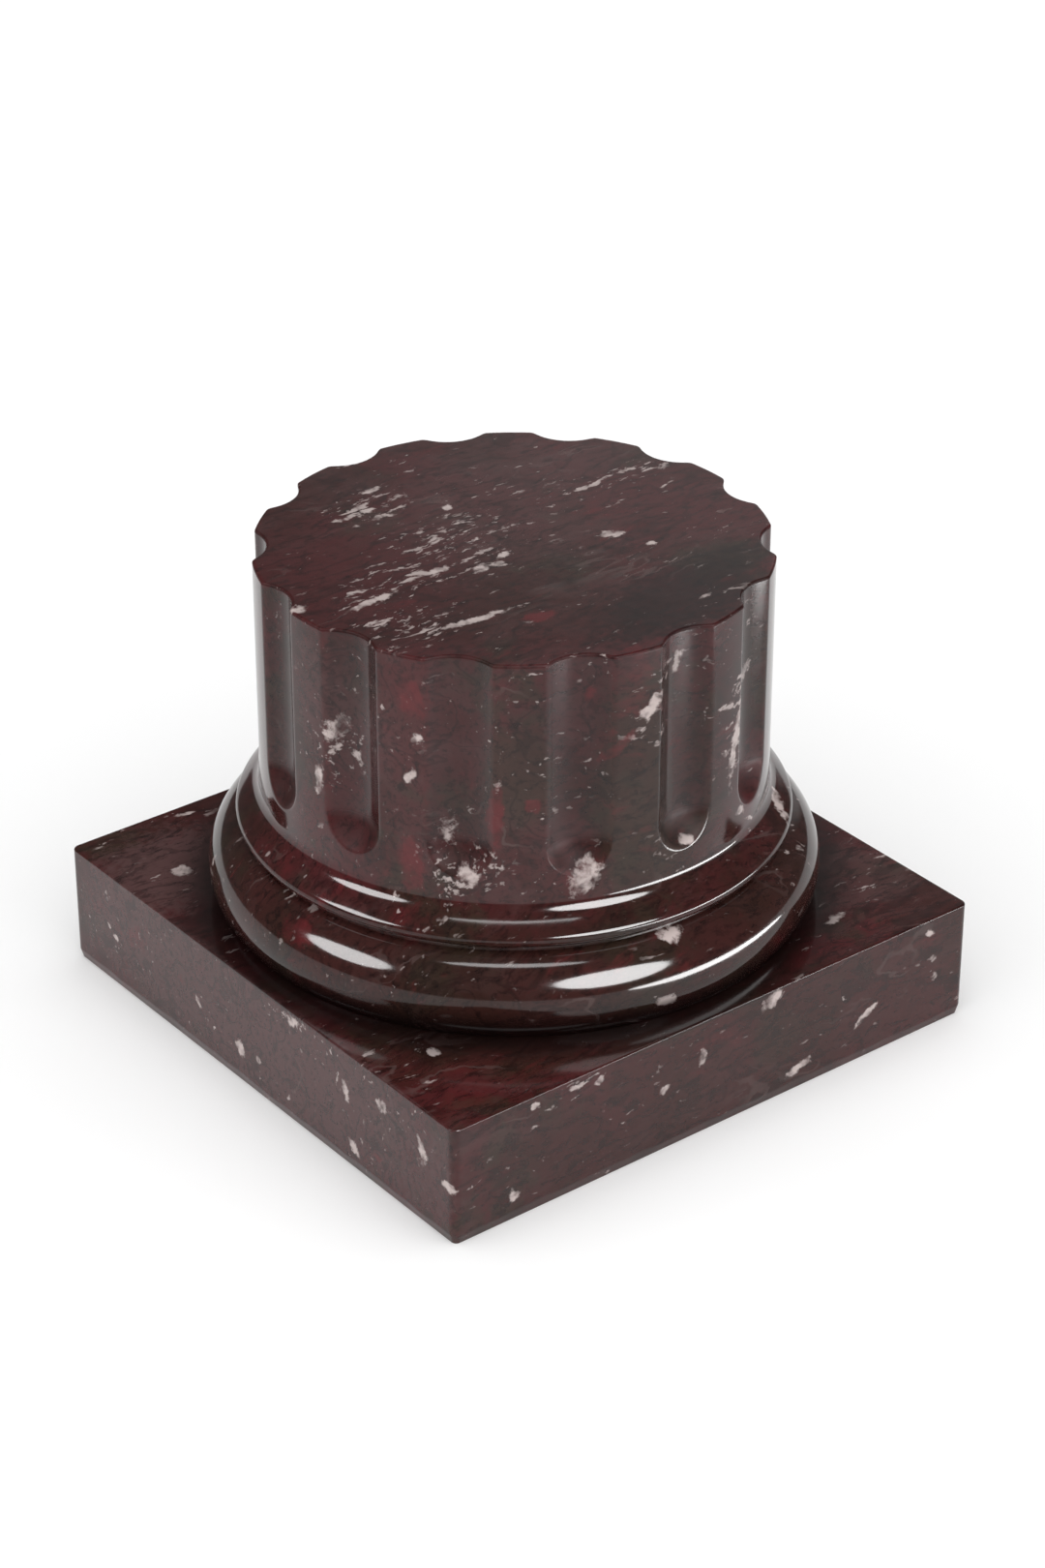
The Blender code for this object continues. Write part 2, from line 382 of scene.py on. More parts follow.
def column_section(sizes, flutes):
    """Radius and height of each row of the column, from the bed up to just under the top arris.

    The section is worked out inwards from the torus's reach and upwards from the bed: torus arc, quirk,
    nose arc, slope arc, hollow arc, then straight up the shaft, with close rows over the flutes' feet.
    """
    rise = sizes.torus_rise
    torus_centre = (sizes.foot_reach - sizes.torus_radius, sizes.bed + rise)
    quirk_radius = sizes.foot_reach - sizes.torus_projection
    foot = -math.asin(rise / sizes.torus_radius)
    head = math.acos((quirk_radius - torus_centre[0]) / sizes.torus_radius)
    torus = arc(torus_centre, sizes.torus_radius, foot, head, TORUS_ROWS)
    ring_foot = torus[-1, 1] + sizes.quirk_height
    quirk_heights = np.linspace(torus[-1, 1], ring_foot, QUIRK_ROWS)
    quirk = np.stack([np.full(QUIRK_ROWS, quirk_radius), quirk_heights], axis=-1)
    nose_radius, nose_start, nose_end = sizes.nose_radius, sizes.nose_start, sizes.nose_end
    nose_centre = (
        quirk_radius + sizes.quirk_depth - nose_radius * math.cos(nose_end),
        ring_foot - nose_radius * math.sin(nose_end),
    )
    nose = arc(nose_centre, nose_radius, nose_end, nose_start, NOSE_ROWS)
    spread = nose_radius - sizes.slope_radius
    slope_centre = (
        nose_centre[0] + spread * math.cos(nose_start),
        nose_centre[1] + spread * math.sin(nose_start),
    )
    turn = sizes.hollow_turn
    slope = arc(slope_centre, sizes.slope_radius, nose_start, turn, SLOPE_ROWS)
    hollow_centre = (
        sizes.shaft_radius + sizes.hollow_radius,
        slope[-1, 1] + sizes.hollow_radius * math.sin(turn),
    )
    hollow = arc(hollow_centre, sizes.hollow_radius, math.pi + turn, math.pi, HOLLOW_ROWS)
    tool, axis = flute_tool(sizes, flutes)
    shaft_foot = hollow_centre[1]
    feet = shaft_foot + flutes.foot_margin
    straight = feet + math.sqrt(tool**2 - (axis - sizes.shaft_radius) ** 2)
    shoulder = sizes.top - sizes.top_arris
    heights = np.concatenate(
        [
            np.linspace(shaft_foot, feet - flutes.easing, PLAIN_ROWS)[1:],
            np.linspace(feet - flutes.easing, straight, FLUTE_FOOT_ROWS)[1:],
            np.linspace(straight, shoulder - EDGE_STRIP, SHAFT_ROWS)[1:],
            [shoulder],
        ]
    )
    shaft = np.stack([np.full(len(heights), sizes.shaft_radius), heights], axis=-1)
    section = np.concatenate([torus, quirk[1:], nose, slope[1:], hollow[1:], shaft])
    return section, straight


def flute_tool(sizes, flutes):
    """Radius of the round tool that cuts a flute of this width and depth, and of the circle it runs on."""
    half = flutes.width / 2
    bottom = sizes.shaft_radius - flutes.depth
    sagitta = math.sqrt(sizes.shaft_radius**2 - half**2) - bottom
    tool = (half**2 + sagitta**2) / (2 * sagitta)
    return tool, bottom + tool


def ring_angles(sizes, flutes):
    """Angles of the columns of points, closer together where a flute meets the shaft.

    Within one pitch the spacing goes as 1 / (1 + c g), where g is a Gaussian bump at each arris.
    """
    pitch = math.tau / flutes.count
    edge = math.asin(flutes.width / 2 / sizes.shaft_radius)
    fine = np.linspace(-pitch / 2, pitch / 2, FINE_POINTS)
    bump = np.exp(-(((np.abs(fine) - edge) / math.radians(ARRIS_ZONE_DEG)) ** 2))
    share = np.concatenate([[0.0], np.cumsum(1 + ARRIS_CROWDING * (bump[1:] + bump[:-1]) / 2)])
    steps = np.interp(np.arange(COLUMNS_PER_PITCH) / COLUMNS_PER_PITCH, share / share[-1], fine)
    first = flutes.turn - math.pi / 2
    centres = first + pitch * np.arange(flutes.count)
    offsets = np.tile(steps, flutes.count)
    return (centres[:, None] + steps[None, :]).ravel(), offsets


def fluted_radius(radius, offset, height, straight, tool, axis, easing):
    """Radius of the turned surface after the flutes are cut.

    Seen from the middle, a tool of this radius on its circle starts at axis cos a - sqrt(d), where
    d = tool^2 - (height below its round end's centre)^2 - (axis sin a)^2. The surface is the smaller
    of the turned radius and that cut, blended over the easing so that the arrises are rounded.
    """
    below = np.minimum(height - straight, 0)
    inside = tool**2 - below**2 - (axis * np.sin(offset)) ** 2
    cut = np.where(inside > 0, axis * np.cos(offset) - np.sqrt(np.maximum(inside, 0)), UNCUT)
    near = np.maximum(easing - np.abs(radius - cut), 0) / easing
    return np.minimum(radius, cut) - near**2 * easing / 4


def column_rows(sizes, flutes):
    """Rings of the column: turned section with the flutes cut, eased top arris, rings across the top."""
    section, straight = column_section(sizes, flutes)
    angles, offsets = ring_angles(sizes, flutes)
    tool, axis = flute_tool(sizes, flutes)
    radius = np.meshgrid(section[:, 0], angles, indexing="ij")[0]
    height, offset = np.meshgrid(section[:, 1], offsets, indexing="ij")
    carved = fluted_radius(radius, offset, height, straight, tool, axis, flutes.easing)
    rim = carved[-1]
    bend = np.linspace(0, math.pi / 2, ARRIS_ROWS + 1)[1:, None]
    eased = rim[None, :] - sizes.top_arris * (1 - np.cos(bend))
    shoulder = sizes.top - sizes.top_arris
    eased_height = np.repeat(shoulder + sizes.top_arris * np.sin(bend), len(angles), axis=1)
    rings = eased[-1][None, :] * np.array(TOP_RINGS)[:, None]
    radii = np.concatenate([carved, eased, rings])
    heights = np.concatenate([height, eased_height, np.full(rings.shape, sizes.top)])
    return polar_grid(radii, np.tile(angles, (len(radii), 1)), heights)


def plinth_outline(half, corner):
    """Square with rounded corners, anticlockwise: points, and the outward direction at each."""
    turn = np.linspace(0, math.pi / 2, CORNER_COLUMNS + 1)
    along = np.linspace(-1, 1, SIDE_COLUMNS + 1)[1:-1] * (half - corner)
    side = np.stack([np.full(len(along), half), along], axis=-1)
    bend = np.stack([half - corner + corner * np.cos(turn), half - corner + corner * np.sin(turn)], axis=-1)
    points = np.concatenate([side, bend])
    facing = np.concatenate([np.zeros(len(along)), turn])
    quarter = np.arange(4)[:, None] * math.pi / 2
    x = np.cos(quarter) * points[:, 0] - np.sin(quarter) * points[:, 1]
    y = np.sin(quarter) * points[:, 0] + np.cos(quarter) * points[:, 1]
    facing = (facing[None, :] + quarter).ravel()
    return np.stack([x.ravel(), y.ravel()], axis=-1), np.stack([np.cos(facing), np.sin(facing)], axis=-1)


def ripple(along, waves):
    """Uneven line from a few sines: the sum of size * sin(turns * along + start), for each wave."""
    return sum(size * np.sin(turns * along + start) for turns, start, size in waves)


def plinth_rows(plinth):
    """Rings of the plinth: the outline moved inwards for bevelled foot, sides and top arris, then shrunk.

    The line where the bevel starts wavers up and down by a sum of sines round the stone.
    """
    outline, facing = plinth_outline(plinth.half_side, plinth.corner_radius)
    around = np.linspace(0, math.tau, len(outline), endpoint=False)
    bevel = plinth.bevel_height + plinth.wear * ripple(around, BEVEL_WAVES)
    rows = []
    for part in np.linspace(0, 1, BEVEL_ROWS):
        rows.append((np.full(len(outline), plinth.bevel_inset * (1 - part)), bevel * part))
    flat = np.zeros(len(outline))
    shoulder = plinth.height - plinth.top_arris
    side_foot, side_head = bevel + EDGE_STRIP, shoulder - EDGE_STRIP
    for part in np.linspace(0, 1, PLINTH_SIDE_ROWS):
        rows.append((flat, side_foot + (side_head - side_foot) * part))
    rows.append((flat, flat + shoulder))
    for bend in np.linspace(0, math.pi / 2, ARRIS_ROWS + 1)[1:]:
        inset = plinth.top_arris * (1 - math.cos(bend))
        rows.append((flat + inset, flat + shoulder + plinth.top_arris * math.sin(bend)))
    inset = np.array([row[0] for row in rows])[:, :, None]
    height = np.array([row[1] for row in rows])[:, :, None]
    sides = np.concatenate([outline[None] - facing[None] * inset, height], axis=-1)
    shrink = np.array([(ring, ring, 1.0) for ring in PLINTH_TOP_RINGS])[:, None, :]
    return np.concatenate([sides, sides[-1][None] * shrink])


def put(tree, kind, inputs=None, **settings):
    """Add a shader node, make its settings, and fill its inputs with numbers or other nodes' outputs."""
    node = tree.nodes.new(kind)
    for name, value in settings.items():
        setattr(node, name, value)
    for key, value in (inputs or {}).items():
        if isinstance(value, bpy.types.NodeSocket):
            tree.links.new(value, node.inputs[key])
        else:
            node.inputs[key].default_value = value
    return node


def noise(tree, vector, scale, detail=3.0, roughness=0.55, distortion=0.0):
    """Soft noise, its features about 1 / scale metres across."""
    inputs = {"Vector": vector, "Scale": scale, "Detail": detail, "Roughness": roughness}
    inputs["Distortion"] = distortion
    return put(tree, "ShaderNodeTexNoise", inputs).outputs["Fac"]


def shifted(tree, vector, offset, stretch=(1.0, 1.0, 1.0), turn=(0.0, 0.0, 0.0)):
    """The coordinates moved, turned and stretched, so that one noise differs from the next."""
    inputs = {"Vector": vector, "Location": offset, "Rotation": turn, "Scale": stretch}
    return put(tree, "ShaderNodeMapping", inputs).outputs["Vector"]


def own_noise(tree, vector, start, *settings):
    """Soft noise with a start of its own, the settings being its scale, detail and roughness."""
    return noise(tree, shifted(tree, vector, start), *settings)


def step(tree, value, low, high, top=1.0):
    """Smooth step from 0 at low to top at high."""
    inputs = {"Value": value, "From Min": low, "From Max": high, "To Min": 0.0, "To Max": top}
    node = put(tree, "ShaderNodeMapRange", inputs, interpolation_type="SMOOTHSTEP")
    return node.outputs["Result"]


def maths(tree, operation, first, second=0.0):
    """One sum on two numbers."""
    return put(tree, "ShaderNodeMath", {0: first, 1: second}, operation=operation).outputs[0]


def times(tree, first, second):
    """One number times another."""
    return maths(tree, "MULTIPLY", first, second)


def over(tree, base, mask, tint):
    """Lay a tint over a colour where the mask is 1."""
    rgba = tint if isinstance(tint, bpy.types.NodeSocket) else (*tint, 1.0)
    under = base if isinstance(base, bpy.types.NodeSocket) else (*base, 1.0)
    return put(tree, "ShaderNodeMix", {0: mask, 6: under, 7: rgba}, data_type="RGBA").outputs[2]


def ruffled(tree, vector, scale, reach):
    """The coordinates pushed about by noise, by up to half the reach in metres each way."""
    texture = {"Vector": vector, "Scale": scale, "Detail": RUFFLE_DETAIL}
    push = {0: put(tree, "ShaderNodeTexNoise", texture).outputs["Color"], 1: (MIDDLE, MIDDLE, MIDDLE)}
    centred = put(tree, "ShaderNodeVectorMath", push, operation="SUBTRACT").outputs[0]
    inputs = {0: centred, 1: (reach, reach, reach), 2: vector}
    return put(tree, "ShaderNodeVectorMath", inputs, operation="MULTIPLY_ADD").outputs[0]


def thin_lines(tree, vector, start, scale, width, detail=2.0):
    """Thin wandering lines, where a noise passes through its middle value."""
    value = own_noise(tree, vector, start, scale, detail, *LINE_NOISE)
    away = maths(tree, "ABSOLUTE", maths(tree, "SUBTRACT", value, MIDDLE))
    return step(tree, away, width, width * LINE_CORE)


def fleck_mask(tree, vector, flecks, ragged):
    """1 inside each named fleck: the shortest distance from their middles, each in its own stretched frame.

    The noise called ragged is added to that distance, so that an outline is uneven and may fall in bits.
    """
    nearest = None
    for centre, normal, slant, long, wide, deep in flecks:
        looks_up = abs(normal.z) > abs(normal.x) + abs(normal.y)
        up = Vector((0, 1, 0)) if looks_up else Vector((0, 0, 1))
        across = up.cross(normal).normalized()
        along = math.cos(slant) * across + math.sin(slant) * up
        beside = normal.cross(along)
        turn = Matrix((along, beside, normal)).transposed().to_euler()
        local = {"Vector": vector, "Location": centre, "Rotation": turn}
        local["Scale"] = (long / 2, wide / 2, deep)
        place = put(tree, "ShaderNodeMapping", local, vector_type="TEXTURE").outputs["Vector"]
        away = put(tree, "ShaderNodeVectorMath", {0: place}, operation="LENGTH").outputs["Value"]
        nearest = away if nearest is None else maths(tree, "MINIMUM", nearest, away)
    return step(tree, maths(tree, "ADD", nearest, ragged), *FLECK_EDGES)


def clouded(tree, stone, bent, grain, mottle, fine, ragged, zones):
    """Colour of the stone under its flecks: clouds, patches, placed zones, a red blush and dark seams.

    Each zone is a colour, the places where the photograph shows it, and its strength.
    """
    shade = over(tree, stone.body, step(tree, own_noise(tree, bent, *CLOUDS), *CLOUD_EDGES), stone.burgundy)
    shade = over(tree, shade, step(tree, own_noise(tree, bent, *PATCHES), *PATCH_EDGES), stone.green)
    shade = over(tree, shade, step(tree, mottle, *MOTTLE_EDGES), stone.mauve)
    soft = times(tree, ragged, ZONE_SHARE)
    for tint, places, strength in zones:
        shade = over(tree, shade, times(tree, fleck_mask(tree, bent, places, soft), strength), tint)
    shade = over(tree, shade, step(tree, own_noise(tree, grain, *BLUSH), *BLUSH_EDGES), stone.red)
    seams = thin_lines(tree, grain, *SEAM_LINES)
    shade = over(tree, shade, times(tree, seams, SEAM_STRENGTH), stone.seam)
    return over(tree, shade, step(tree, fine, *DARK_GRAIN_EDGES), stone.seam)


def speckled(tree, stone, shade, bent, grain, ragged, clusters):
    """The stone with its fine veins, and with its scattered pale specks, which crowd in the clusters."""
    veins = thin_lines(tree, grain, *VEIN_LINES)
    vein_zone = step(tree, own_noise(tree, bent, *VEIN_PLACES), *VEIN_EDGES)
    shade = over(tree, shade, times(tree, veins, vein_zone), stone.vein)
    scattered = step(tree, own_noise(tree, bent, *SPECK_PLACES), *SPECK_EDGES)
    crowded = fleck_mask(tree, bent, clusters, ragged)
    speck_zone = maths(tree, "MAXIMUM", scattered, crowded)
    easier = times(tree, crowded, CROWDING)
    for start, scale, sparse, strength in SCATTERED_SPECKS:
        speck = maths(tree, "ADD", own_noise(tree, grain, start, scale, *SPECK_NOISE), easier)
        specks = times(tree, step(tree, speck, sparse, sparse + SPECK_SOFTNESS), speck_zone)
        shade = over(tree, shade, times(tree, specks, strength), stone.pale)
    return shade


def flecked(tree, stone, shade, bent, mottle, ragged, pale_flecks, red_flecks):
    """The stone with its placed flecks: the red ones mottled, the pale ones broken up by their crystals."""
    red_mask = times(tree, fleck_mask(tree, bent, red_flecks, ragged), step(tree, mottle, *RED_EDGES))
    shade = over(tree, shade, times(tree, red_mask, RED_STRENGTH), stone.red)
    looser = times(tree, ragged, PALE_SHARE)
    crystals = step(tree, own_noise(tree, bent, *CRYSTALS), *CRYSTAL_EDGES)
    pale_mask = times(tree, fleck_mask(tree, bent, pale_flecks, looser), crystals)
    return over(tree, shade, pale_mask, stone.pale)


def joint_painted_shade(tree, reach, height):
    """Mask of the painted shade where the torus stands on the plinth, a dark ring fading outwards and
    upwards.
    """
    beside = step(tree, reach, *JOINT_SHADE_REACH)
    above = step(tree, height, *JOINT_SHADE_ABOVE)
    below = step(tree, height, *JOINT_SHADE_BELOW)
    return times(tree, times(tree, beside, times(tree, above, below)), JOINT_SHADE_STRENGTH)


def shaft_masks(tree, reach, height, shaft):
    """Two masks of the shaft: its flutes, and the places with the least polish.

    Those are the feet of the flutes, where a wheel can't reach, and the handled arris round the top.
    """
    radius, flute_foot, top = shaft
    carved = step(tree, reach, *(radius - depth for depth in CARVED_DEPTHS))
    edged = step(tree, reach, *(radius - depth for depth in EDGED_DEPTHS))
    low = times(tree, edged, step(tree, height, *(flute_foot - drop for drop in FOOT_DROPS)))
    level = step(tree, height, *(top - drop for drop in LEVEL_DROPS))
    rim = times(tree, step(tree, height, *(top - drop for drop in RIM_DROPS)), level)
    return carved, maths(tree, "MAXIMUM", low, rim)


def marble(name, stone, zones, clusters, pale_flecks, red_flecks, shaft=None):
    """Procedural marble in Object coordinates: clouds, specks, placed flecks, painted shade round the joint
    and polish.

    The shaft is its radius, the height where its flutes start to run out, and its top. It is given for
    the column alone, whose flutes get painted shade and whose polish is duller in the flutes, most of all
    in their feet, and round the top.
    """
    material = bpy.data.materials.new(name)
    material.use_nodes = True
    tree = material.node_tree
    tree.nodes.clear()
    where = put(tree, "ShaderNodeTexCoord").outputs["Object"]
    bent = ruffled(tree, ruffled(tree, where, *BROAD_RUFFLE), *FINE_RUFFLE)
    grain = shifted(tree, bent, ORIGIN, GRAIN_STRETCH, GRAIN_TURN)
    fine = own_noise(tree, grain, *FINE_GRAIN)
    mottle = own_noise(tree, grain, *MOTTLE)
    uneven = noise(tree, bent, *RAGGED_NOISE)
    ragged = times(tree, maths(tree, "SUBTRACT", uneven, MIDDLE), RAGGEDNESS)

    shade = clouded(tree, stone, bent, grain, mottle, fine, ragged, zones)
    shade = speckled(tree, stone, shade, bent, grain, ragged, clusters)
    shade = flecked(tree, stone, shade, bent, mottle, ragged, pale_flecks, red_flecks)

    split = put(tree, "ShaderNodeSeparateXYZ", {0: where}).outputs
    x, y, height = split["X"], split["Y"], split["Z"]
    reach = maths(tree, "SQRT", maths(tree, "ADD", times(tree, x, x), times(tree, y, y)))
    # Painted shade: the ring where the torus meets the plinth is darkened
    shade = over(tree, shade, joint_painted_shade(tree, reach, height), stone.seam)

    smoothest, dullest = (stone.polish * share for share in POLISH_SPREAD)
    spread = {"Value": own_noise(tree, bent, *WHEEL_MARKS), "To Min": smoothest, "To Max": dullest}
    rough = put(tree, "ShaderNodeMapRange", spread).outputs["Result"]
    gloss = stone.gloss
    if shaft:
        carved, dull = shaft_masks(tree, reach, height, shaft)
        # Painted shade: the flutes are darkened, as shade in recesses
        shade = over(tree, shade, times(tree, carved, FLUTE_PAINTED_SHADE), stone.seam)
        added = maths(tree, "ADD", times(tree, dull, FOOT_DULLNESS), times(tree, carved, FLUTE_DULLNESS))
        rough = maths(tree, "ADD", rough, added)
        gloss = maths(tree, "MAXIMUM", step(tree, dull, 1.0, 0.0, stone.gloss), LEAST_GLOSS)
    waves = maths(tree, "ADD", noise(tree, where, *WAVE_NOISE), times(tree, fine, GRAIN_RELIEF))
    relief = {"Height": waves, "Strength": BUMP_STRENGTH, "Distance": BUMP_DEPTH}
    finish = {
        "Base Color": shade,
        "Roughness": rough,
        "Normal": put(tree, "ShaderNodeBump", relief).outputs["Normal"],
        "IOR": STONE_IOR,
        "Specular IOR Level": gloss,
    }
    shader = put(tree, "ShaderNodeBsdfPrincipled", finish).outputs["BSDF"]
    put(tree, "ShaderNodeOutputMaterial", {"Surface": shader})
    return material


def mark(normal, x, y, z, long, wide, deep, slant):
    """A mark's middle, the way its face looks, its slant and its sizes, from millimetres and degrees."""
    x, y, z, long, wide, deep = (value / 1000 for value in (x, y, z, long, wide, deep))
    return Vector((x, y, z)), Vector(normal), math.radians(slant), long, wide, deep


def on_shaft(angle, height, long, wide, slant, radius=SHAFT_FACE):
    """A mark round the column, in millimetres, its angle and its slant up to the right in degrees."""
    facing = math.radians(angle)
    normal = Vector((math.cos(facing), math.sin(facing), 0.0))
    return mark(normal, normal.x * radius, normal.y * radius, height, long, wide, SHAFT_MARK_DEPTH, slant)


def on_level(x, y, z, long, wide, slant, deep=FLAT_MARK_DEPTH):
    """A mark or layer on a level face, millimetres and degrees anticlockwise from the X axis."""
    return mark((0, 0, 1), x, y, z, long, wide, deep, slant)


def on_top(x, y, long, wide, slant):
    """A mark on the column's flat top."""
    return on_level(x, y, COLUMN_TOP, long, wide, slant)


def on_ledge(x, y, long, wide, slant):
    """A mark on the top of the plinth."""
    return on_level(x, y, PLINTH_TOP, long, wide, slant)


def on_left(y, z, long, wide, slant):
    """A mark on the plinth's left side, millimetres and degrees up to the right."""
    return mark((-1, 0, 0), -PLINTH_FACE, y, z, long, wide, FLAT_MARK_DEPTH, slant)


def on_front(x, z, long, wide, slant):
    """A mark on the plinth's front, millimetres and degrees up to the right."""
    return mark((0, -1, 0), x, -PLINTH_FACE, z, long, wide, FLAT_MARK_DEPTH, slant)


def column_marks(stone):
    """The main zones, clusters, pale flecks and red flecks that the photograph shows on the column."""
    # The whole moulded foot, as one wide level layer
    foot = [on_level(0, 0, 68, 500, 500, 0, 22.0)]
    zones = [
        (stone.mauve, [on_top(22, 26, 130, 90, 10), on_shaft(192, 160, 50, 50, 0)], 0.45),
        (stone.mauve, [on_shaft(218, 150, 70, 80, 0)], 0.20),
        (stone.burgundy, [on_top(-74, 12, 90, 90, -20), on_top(66, 2, 60, 50, 0)], 0.75),
        (stone.body, [on_top(10, -74, 130, 40, -12)], 0.60),
        (stone.seam, [on_top(22, -72, 100, 40, 14)], 0.60),
        (stone.green, [on_shaft(233, 150, 44, 34, 90), on_shaft(262, 140, 90, 80, 90)], 0.65),
        (stone.seam, [on_shaft(250, 170, 110, 60, 0), on_shaft(285, 150, 80, 70, 90)], 0.20),
        (stone.green, foot, 0.35),
        (stone.seam, foot, 0.22),
    ]
    clusters = [
        on_top(-18, 12, 62, 46, 10), on_top(-50, 2, 60, 30, 5), on_top(-25, 58, 40, 26, 0),
        on_top(62, 22, 60, 16, 0), on_top(-72, -30, 40, 30, 0), on_shaft(193, 146, 36, 24, 90),
        on_shaft(266, 172, 40, 26, 60), on_shaft(290, 150, 50, 22, 90), on_shaft(220, 112, 30, 26, 0),
    ]
    pale = [
        on_top(-15, 69, 7, 4, 0), on_top(-28, 55, 7, 3, 10), on_top(-2, 40, 5, 4, 0),
        on_top(-22, -10, 9, 4, 10), on_top(-11, -7, 6, 3, 20), on_top(-36, -1, 8, 3, 0),
        on_top(-69, -6, 20, 4, 8), on_top(-94, 5, 6, 5, 0), on_top(-50, -41, 36, 3.2, -4),
        on_top(-97, -42, 7, 4, 0), on_top(33, -18, 11, 5, -30), on_top(40, -32, 4, 3, 0),
        on_shaft(190, 156, 12, 9, 30), on_shaft(195, 142, 13, 5, -60), on_shaft(185, 132, 13, 5, 85),
        on_shaft(211, 162, 5, 4, -40), on_shaft(209, 146, 6, 3, 60), on_shaft(218, 124, 13, 7, 80),
        on_shaft(222, 109, 8, 6, -40), on_shaft(247, 106, 15, 10, 50), on_shaft(262, 171, 12, 5, 45),
        on_shaft(271, 182, 9, 5, 70), on_shaft(297, 159, 16, 5, 40), on_shaft(288, 140, 30, 4, 80),
        on_shaft(273, 110, 6, 4, 0), on_shaft(291, 108, 5, 4, 0), on_shaft(314, 91, 18, 4, 22, 104.0),
        on_level(-11, -107, 79, 8, 7, 0), on_shaft(260, 60, 6, 5, 0, 118.0),
        on_level(-105, 55, 70, 5, 4, 0),
    ]
    red = [
        on_top(-30, -54, 12, 8, 0), on_shaft(254, 157, 18, 4, 38), on_shaft(209, 108, 22, 10, 90),
        on_shaft(228, 133, 26, 6, 90), on_shaft(221, 145, 18, 7, 80), on_shaft(210, 178, 16, 12, 90),
        on_shaft(236, 137, 6, 5, 0), on_shaft(249, 180, 7, 5, 60), on_shaft(187, 75, 16, 9, 0, 113.5),
    ]
    return zones, clusters, pale, red


def plinth_marks(stone):
    """The main zones, clusters, pale flecks and red flecks that the photograph shows on the plinth."""
    zones = [
        # Painted light: the whole left side and the back-left corner of the ledge are made lighter
        (stone.mauve, [on_left(0, 28, 250, 64, 0), on_ledge(-98, 84, 70, 60, 0)], 0.80),
        # Painted light: two corners of the ledge are made paler
        (stone.vein, [on_ledge(-100, 84, 74, 60, 0), on_ledge(100, -84, 60, 40, 0)], 0.22),
        # Painted shade: the whole front side is made darker
        (stone.body, [on_front(30, 26, 240, 60, 0)], 0.55),
        (stone.green, [on_ledge(-50, -100, 130, 50, -20)], 0.50),
        (stone.red, [on_ledge(-108, -110, 26, 16, 30), on_ledge(-92, -95, 26, 12, 0)], 0.22),
    ]
    clusters = [on_front(-72, 44, 40, 8, 0), on_left(-30, 46, 40, 8, 0)]
    pale = [
        on_left(9, 16, 7, 4, -60), on_left(-64, 10, 8, 5, -30), on_left(-60, 32, 9, 3, -70),
        on_left(-107, 32, 10, 4, -65), on_front(41, 10, 12, 4, 20), on_front(73, 19, 10, 3, 30),
        on_left(37, 23, 6, 3, -60), on_left(-27, 46, 8, 4, 20), on_left(-82, 38, 7, 5, 0),
        on_left(-122, 25, 6, 4, 0), on_left(-3, 16, 4, 3, 0), on_left(95, 22, 4, 3, 0),
        on_front(-10, 33, 6, 3, 90), on_front(-99, 11, 5, 4, 80), on_front(-88, 45, 5, 3, 0),
        on_front(-58, 43, 5, 3, 20), on_front(-27, 28, 4, 3, 0), on_front(25, 45, 10, 5, 20),
        on_front(105, 43, 4, 3, 0), on_front(107, 31, 4, 3, 0), on_ledge(-100, 84, 7, 7, 0),
        on_ledge(-100, -81, 5, 4, 0), on_ledge(77, -102, 9, 4, 20),
    ]
    red = [on_left(-79, 15, 5, 3, 0)]
    return zones, clusters, pale, red


class PEDESTAL_OT_column(bpy.types.Operator):
    """Make the turned and fluted column, which stands for its CAD solid"""

    bl_idname = "pedestal.column"
    bl_label = "Fluted column"

    def execute(self, context):
        scene = context.scene
        sizes, flutes = scene.pedestal_mouldings, scene.pedestal_flutes
        look = scene.pedestal_marble
        shaft = sizes.shaft_radius, sizes.top - flutes.straight, sizes.top
        stone = marble("Column marble", look, *column_marks(look), shaft)
        rows = column_rows(sizes, flutes)
        piece = closed_surface("Column_Stone", rows, (0, 0, sizes.bed), (0, 0, sizes.top), stone)
        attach(piece, "root")
        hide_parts("Fluted_Column")
        return {"FINISHED"}


class PEDESTAL_OT_plinth(bpy.types.Operator):
    """Make the square plinth, which stands for its CAD solid"""

    bl_idname = "pedestal.plinth"
    bl_label = "Square plinth"

    def execute(self, context):
        scene = context.scene
        plinth = scene.pedestal_plinth
        look = scene.pedestal_marble
        stone = marble("Plinth marble", look, *plinth_marks(look))
        piece = closed_surface("Plinth_Stone", plinth_rows(plinth), ORIGIN, (0, 0, plinth.height), stone)
        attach(piece, "root")
        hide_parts("Plinth")
        return {"FINISHED"}


def toward(azimuth, elevation):
    """Direction from the pedestal at an azimuth and elevation in degrees."""
    level, angle = math.cos(math.radians(elevation)), math.radians(azimuth)
    return Vector((level * math.cos(angle), level * math.sin(angle), math.sin(math.radians(elevation))))


def room_light(strength, azimuth, elevation, spread):
    """A broad soft light from above that stays out of the reflections, angles in degrees."""
    lamp = bpy.data.lights.new("Room light", "SUN")
    lamp.energy = strength
    lamp.angle = math.radians(spread)
    holder = bpy.data.objects.new("Room light", lamp)
    bpy.context.scene.collection.objects.link(holder)
    holder.rotation_euler = toward(azimuth, elevation).to_track_quat("Z", "Y").to_euler()
    holder.visible_glossy = False


def soft_light(name, power, azimuth, elevation, distance, size, roll):
    """An oval light that faces the pedestal and shows in its polish alone, angles in degrees."""
    lamp = bpy.data.lights.new(name, "AREA")
    lamp.shape = "ELLIPSE"
    lamp.size, lamp.size_y = size
    lamp.energy = power
    holder = bpy.data.objects.new(name, lamp)
    bpy.context.scene.collection.objects.link(holder)
    away = toward(azimuth, elevation)
    holder.location = away * distance + Vector(LIGHT_AIM)
    aim = away.to_track_quat("Z", "Y").to_matrix() @ Matrix.Rotation(math.radians(roll), 3, "Z")
    holder.rotation_euler = aim.to_euler()
    holder.visible_diffuse = False
    holder.visible_camera = False


